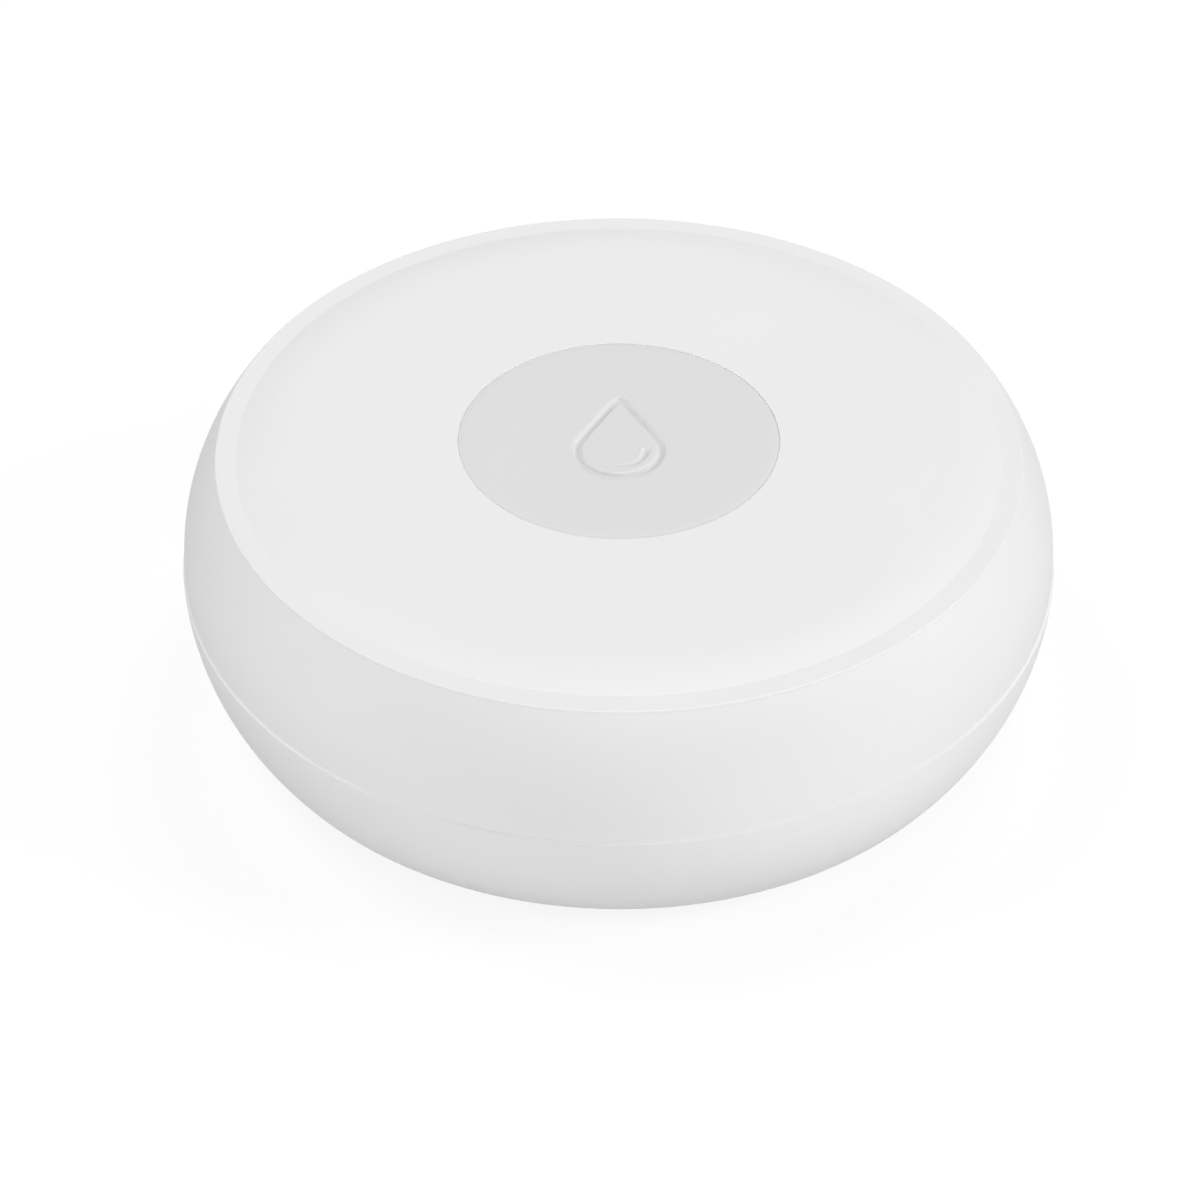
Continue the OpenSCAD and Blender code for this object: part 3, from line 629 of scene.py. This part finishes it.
# Feet: soft pads with a rounded sole and two grooves
foot = dict(
    radius=2.5, thickness=1, soleRound=0.3, topRound=0.05, grooves=(0.95, 1.6), grooveWidth=0.3,
    grooveDepth=0.14, grooveSlope=0.05, grooveEdge=0.05, grooveFloor=0.06,
)
footProfile = [(0, 0, 0)]
for middle in foot["grooves"]:
    near, far = middle - foot["grooveWidth"] / 2, middle + foot["grooveWidth"] / 2
    footProfile += [
        (near, 0, foot["grooveEdge"]),
        (near + foot["grooveSlope"], foot["grooveDepth"], foot["grooveFloor"]),
        (far - foot["grooveSlope"], foot["grooveDepth"], foot["grooveFloor"]),
        (far, 0, foot["grooveEdge"]),
    ]
footProfile += [
    (foot["radius"], 0, foot["soleRound"]),
    (foot["radius"], foot["thickness"], foot["topRound"]),
    (0, foot["thickness"], 0),
]
footOutline = roundedOutline(footProfile)
makePiece("foot_pads", [(turned(footOutline, smallTurn, spot), False, True) for spot in footSpots],
          footRubber, "housing", "feet")

# Probes: turned pins with a flat head and a shank
probe = dict(
    headRadius=2.5, headLow=0.12, headTop=0.92, headRound=0.18, backRound=0.05, shank=1, endRound=0.15,
)
probeTop = cadBox("probe_pins")[1][2]
probeOutline = roundedOutline([
    (0, probe["headLow"], 0),
    (probe["headRadius"], probe["headLow"], probe["headRound"]),
    (probe["headRadius"], probe["headTop"], probe["backRound"]),
    (probe["shank"], probe["headTop"], 0),
    (probe["shank"], probeTop, probe["endRound"]),
    (0, probeTop, 0),
])
makePiece("probe_heads", [(turned(probeOutline, smallTurn, spot), False, True) for spot in probeSpots],
          probeSteel, "housing", "probe_pins")

# Housing screws: low domed heads with a cross recess, and a shank
screw = dict(
    headRadius=1.9, headTop=2.6, dome=0.25, headRound=0.2, shank=1, crossReach=1.14, crossWidth=0.6,
    crossDepth=0.65, crossSlope=0.08, turns=[18, 71, 40, 5], columns=144, headRows=40, edgeSteps=5,
)
screwLow, screwTop = cadBox("housing_screws")[0][2], cadBox("housing_screws")[1][2]


# Head of a screw: dome * (r / R)^2 above its lowest point, less a cross
# whose arms fade out over a narrow slope
def screwGrid(spot, turn):
    headEdge = screw["headRadius"] - screw["headRound"]
    r = np.linspace(0, headEdge, screw["headRows"], endpoint=False)
    head = np.column_stack([r, screwLow + screw["dome"] * (r / screw["headRadius"]) ** 2])
    edgeCentre = (headEdge, screwLow + screw["dome"] + screw["headRound"])
    edge = arcPoints(edgeCentre, screw["headRound"], -90, 0, screw["edgeSteps"])
    body = np.array([
        (screw["headRadius"], screw["headTop"]), (screw["shank"], screw["headTop"]),
        (screw["shank"], screwTop), (0, screwTop),
    ])
    grid = turned(np.vstack([head, edge, body]), screw["columns"])
    x, y = abs(grid[: len(r), :, 0]), abs(grid[: len(r), :, 1])
    long, wide = np.maximum(x, y), np.minimum(x, y)
    inside = np.minimum(screw["crossReach"] - long, screw["crossWidth"] / 2 - wide) / screw["crossSlope"]
    grid[: len(r), :, 2] += screw["crossDepth"] * np.clip(inside, 0, 1)
    place = (grid[..., 0] + 1j * grid[..., 1]) * np.exp(1j * math.radians(turn)) + complex(*spot)
    return np.stack([place.real, place.imag, grid[..., 2]], -1)


makePiece("screw_heads", [(screwGrid(spot, turn), False, True)
                          for spot, turn in zip(screwSpots, screw["turns"])],
          screwSteel, "housing", "housing_screws")

# Finishes of the CAD nodes that stay: seals, board, small parts, cell and contacts
sealRubber = grainedFinish("seal_rubber", (0.045, 0.045, 0.05), drift=0.15, roughness=0.6,
                           grain=0.08, relief=0.004)
blackPlastic = grainedFinish("black_plastic", (0.02, 0.02, 0.022), drift=0.2, roughness=0.55,
                             grain=0.06, relief=0.003)
lampPlastic = grainedFinish("lamp_plastic", (0.82, 0.79, 0.68), drift=0.04, roughness=0.3,
                            grain=0.1, relief=0.001)
passiveBody = grainedFinish("passive_body", (0.28, 0.17, 0.09), drift=0.12, roughness=0.5,
                            grain=0.05, relief=0.003)
cellSteel = grainedFinish("cell_steel", (0.74, 0.74, 0.74), drift=0.03, roughness=0.3,
                          grain=0.15, relief=0.001, metallic=1.0)
ringRelief(cellSteel, spotDistance(cellSteel, 0, 0), pitch=0.12, height=0.0008)
contactMetal = grainedFinish("contact_metal", (0.72, 0.6, 0.36), drift=0.06, roughness=0.32,
                             grain=0.1, relief=0.001, metallic=1.0)
plainSteel = grainedFinish("plain_steel", (0.6, 0.61, 0.63), drift=0.05, roughness=0.38,
                           grain=0.1, relief=0.001, metallic=1.0)

# Diaphragm under the button: a web inside a clamped bead
diaphragm = dict(beadIn=10.3, beadRound=0.12, travel=0.4)
(_, _, webLow), (beadOut, _, beadTop) = cadBox("button_diaphragm")
webOutline = roundedOutline([
    (0, webLow, 0),
    (diaphragm["beadIn"], webLow, 0),
    (diaphragm["beadIn"], buttonLow, 0),
    (0, buttonLow, 0),
])
beadOutline = roundedOutline([
    (diaphragm["beadIn"], webLow, 0),
    (beadOut, webLow, diaphragm["beadRound"]),
    (beadOut, beadTop, diaphragm["beadRound"]),
    (diaphragm["beadIn"], beadTop, diaphragm["beadRound"]),
])
web = makePiece("diaphragm_web", [(turned(webOutline, smallTurn), False, True)],
                sealRubber, "housing", "button_diaphragm")
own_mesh(web)
makePiece("diaphragm_bead", [(turned(beadOutline, smallTurn), True, True)],
          sealRubber, "housing", "button_diaphragm")

# Snap dome of the switch: a thin cap of a sphere of radius (r^2 + h^2) / (2 h)
dome = dict(thickness=0.1, keep=0.12, steps=20)
(_, _, domeLow), (domeRadius, _, domeTop) = cadBox("switch_dome")
domeRise = domeTop - domeLow
domeSphere = (domeRadius ** 2 + domeRise ** 2) / (2 * domeRise)
domeCentre = (0, domeTop - domeSphere)
domeInside = domeSphere - dome["thickness"]
capLean = math.degrees(math.asin(domeRadius / domeSphere))
hollowLean = math.degrees(math.acos((domeLow - domeCentre[1]) / domeInside))
domeOutline = np.vstack([
    arcPoints(domeCentre, domeSphere, 90, 90 - capLean, dome["steps"]),
    arcPoints(domeCentre, domeInside, 90 - hollowLean, 90, dome["steps"]),
])
snapDome = makePiece("snap_dome", [(turned(domeOutline, smallTurn), False, True)],
                     contactMetal, "housing", "switch_dome")
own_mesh(snapDome)

# Circuit board: a green mask with raised tracks in a small maze
board = dict(
    pitch=3.2, trackShare=0.05, patch=5, patchEdge=(0.45, 0.55), mask=(0.015, 0.1, 0.04),
    track=(0.05, 0.2, 0.08), grain=0.3, roughness=(0.25, 0.4), relief=0.03,
)
boardMask = Finish("board_mask")
tracks = boardMask.add("ShaderNodeTexBrick", Scale=1 / (board["pitch"] * mm), Vector=boardMask.place)
tracks.inputs["Mortar Size"].default_value = board["trackShare"]
patches = boardMask.ranged(boardMask.noise(board["patch"], detail=1), 0, 1, *board["patchEdge"])
trackMark = boardMask.math("MULTIPLY", tracks.outputs["Fac"], patches)
boardMask.colour(boardMask.blend(trackMark, board["mask"], board["track"]))
boardMask.rough(boardMask.ranged(boardMask.noise(board["grain"]), *board["roughness"]))
boardMask.relief(trackMark, board["relief"])

innerFinishes = dict(
    housing_seal=sealRubber, door_seal=sealRubber, probe_seals=sealRubber,
    circuit_board=boardMask, board_screws=plainSteel, switch_body=blackPlastic, switch_cover=plainSteel,
    switch_plunger=blackPlastic, status_led=lampPlastic, radio_chip=blackPlastic, sense_chip=blackPlastic,
    crystal=plainSteel, antenna=lampPlastic, passives=passiveBody, coin_cell=cellSteel,
    positive_clip=contactMetal, negative_contact=contactMetal,
    probe_washers=plainSteel, probe_contacts=contactMetal,
)
for node, finish in innerFinishes.items():
    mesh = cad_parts[node].data
    mesh.materials.clear()
    mesh.materials.append(finish.material)
print("finishes of", len(innerFinishes), "inner nodes are set")

# Floor: white to the camera, with a soft shadow, and a plain pale surface to the other light
stage = dict(halfWidth=900, lines=9, colour=(0.5, 0.5, 0.5), glow=0.86, shadowShare=0.16, ambient=0.03)
floorEdge = np.linspace(-1, 1, stage["lines"]) * stage["halfWidth"]
floorX, floorY = np.meshgrid(floorEdge, floorEdge, indexing="ij")
floorGrid = np.stack([floorX, floorY, 0 * floorX], -1)
floorFaces = gridFaces(stage["lines"], stage["lines"], False, False)[:, ::-1]
floorMesh = bpy.data.meshes.new("floor")
floorMesh.from_pydata((floorGrid.reshape(-1, 3) * mm).tolist(), [], floorFaces.tolist())
floor = bpy.data.objects.new("floor", floorMesh)
bpy.context.scene.collection.objects.link(floor)


# Light path that is 1 for the rays that show the background: camera, mirror and glass
def backgroundRay(nodes, links):
    path = nodes.new("ShaderNodeLightPath")
    total = path.outputs["Is Camera Ray"]
    for ray in ("Is Glossy Ray", "Is Transmission Ray"):
        node = nodes.new("ShaderNodeMath")
        node.operation = "MAXIMUM"
        links.new(total, node.inputs[0])
        links.new(path.outputs[ray], node.inputs[1])
        total = node.outputs[0]
    return total


floorFinish = bpy.data.materials.new("floor_white")
floorFinish.use_nodes = True
nodes, links = floorFinish.node_tree.nodes, floorFinish.node_tree.links
nodes.remove(nodes["Principled BSDF"])
shown, shade = nodes.new("ShaderNodeEmission"), nodes.new("ShaderNodeBsdfDiffuse")
shown.inputs["Color"].default_value = (1, 1, 1, 1)
shown.inputs["Strength"].default_value = stage["glow"]
shade.inputs["Color"].default_value = (stage["shadowShare"],) * 3 + (1,)
both, bounce = nodes.new("ShaderNodeAddShader"), nodes.new("ShaderNodeBsdfDiffuse")
choice = nodes.new("ShaderNodeMixShader")
bounce.inputs["Color"].default_value = (*stage["colour"], 1)
links.new(shown.outputs[0], both.inputs[0])
links.new(shade.outputs[0], both.inputs[1])
links.new(backgroundRay(nodes, links), choice.inputs["Fac"])
links.new(bounce.outputs[0], choice.inputs[1])
links.new(both.outputs[0], choice.inputs[2])
links.new(choice.outputs[0], nodes["Material Output"].inputs["Surface"])
floorMesh.materials.append(floorFinish)

# World: white behind the object, and an even dim light from all round
world = bpy.data.worlds.new("studio")
world.use_nodes = True
bpy.context.scene.world = world
nodes, links = world.node_tree.nodes, world.node_tree.links
even = nodes["Background"]
even.inputs["Color"].default_value = (1, 1, 1, 1)
even.inputs["Strength"].default_value = stage["ambient"]
behind, choice = nodes.new("ShaderNodeBackground"), nodes.new("ShaderNodeMixShader")
behind.inputs["Color"].default_value = (1, 1, 1, 1)
behind.inputs["Strength"].default_value = 1.0
links.new(backgroundRay(nodes, links), choice.inputs["Fac"])
links.new(even.outputs[0], choice.inputs[1])
links.new(behind.outputs[0], choice.inputs[2])
links.new(choice.outputs[0], nodes["World Output"].inputs["Surface"])

# Lamps: square panels of one size. A level is the share of its colour that a face turned to the lamp
# gives back.
lampPanel = dict(width=760, distance=2000)
lamps = dict(
    front=dict(azimuth=0, elevation=14, level=0.585),
    right=dict(azimuth=87, elevation=29, level=0.545),
    backRight=dict(azimuth=150, elevation=56, level=0.3),
    backLeft=dict(azimuth=240, elevation=56, level=0.355),
    left=dict(azimuth=273, elevation=20, level=0.22),
)
for name, lamp in lamps.items():
    light = bpy.data.lights.new(name, "AREA")
    light.size = lampPanel["width"] * mm
    light.energy = math.pi ** 2 * (lampPanel["distance"] * mm) ** 2 * lamp["level"]
    panel = bpy.data.objects.new(name, light)
    a, e = math.radians(lamp["azimuth"]), math.radians(lamp["elevation"])
    towards = Vector((math.sin(a) * math.cos(e), -math.cos(a) * math.cos(e), math.sin(e)))
    panel.location = towards * lampPanel["distance"] * mm
    panel.rotation_euler = panel.location.to_track_quat("Z", "Y").to_euler()
    bpy.context.scene.collection.objects.link(panel)

# Camera at the photograph's place
view = dict(
    place=(0, -142.73, 124.2), target=(-1.06, 0, 3.488), lens=95.59, sensor=36, near=5, far=20000,
)
viewPlace, viewTarget = Vector(view["place"]), Vector(view["target"])
camera = bpy.data.cameras.new("camera")
camera.lens, camera.sensor_width, camera.sensor_fit = view["lens"], view["sensor"], "HORIZONTAL"
camera.clip_start, camera.clip_end = view["near"] * mm, view["far"] * mm
cameraObject = bpy.data.objects.new("camera", camera)
cameraObject.location = viewPlace * mm
cameraObject.rotation_euler = (viewPlace - viewTarget).to_track_quat("Z", "Y").to_euler()
bpy.context.scene.collection.objects.link(cameraObject)
bpy.context.scene.camera = cameraObject
bpy.context.scene.view_settings.view_transform = "Standard"
print("stage, lamps and camera are set")
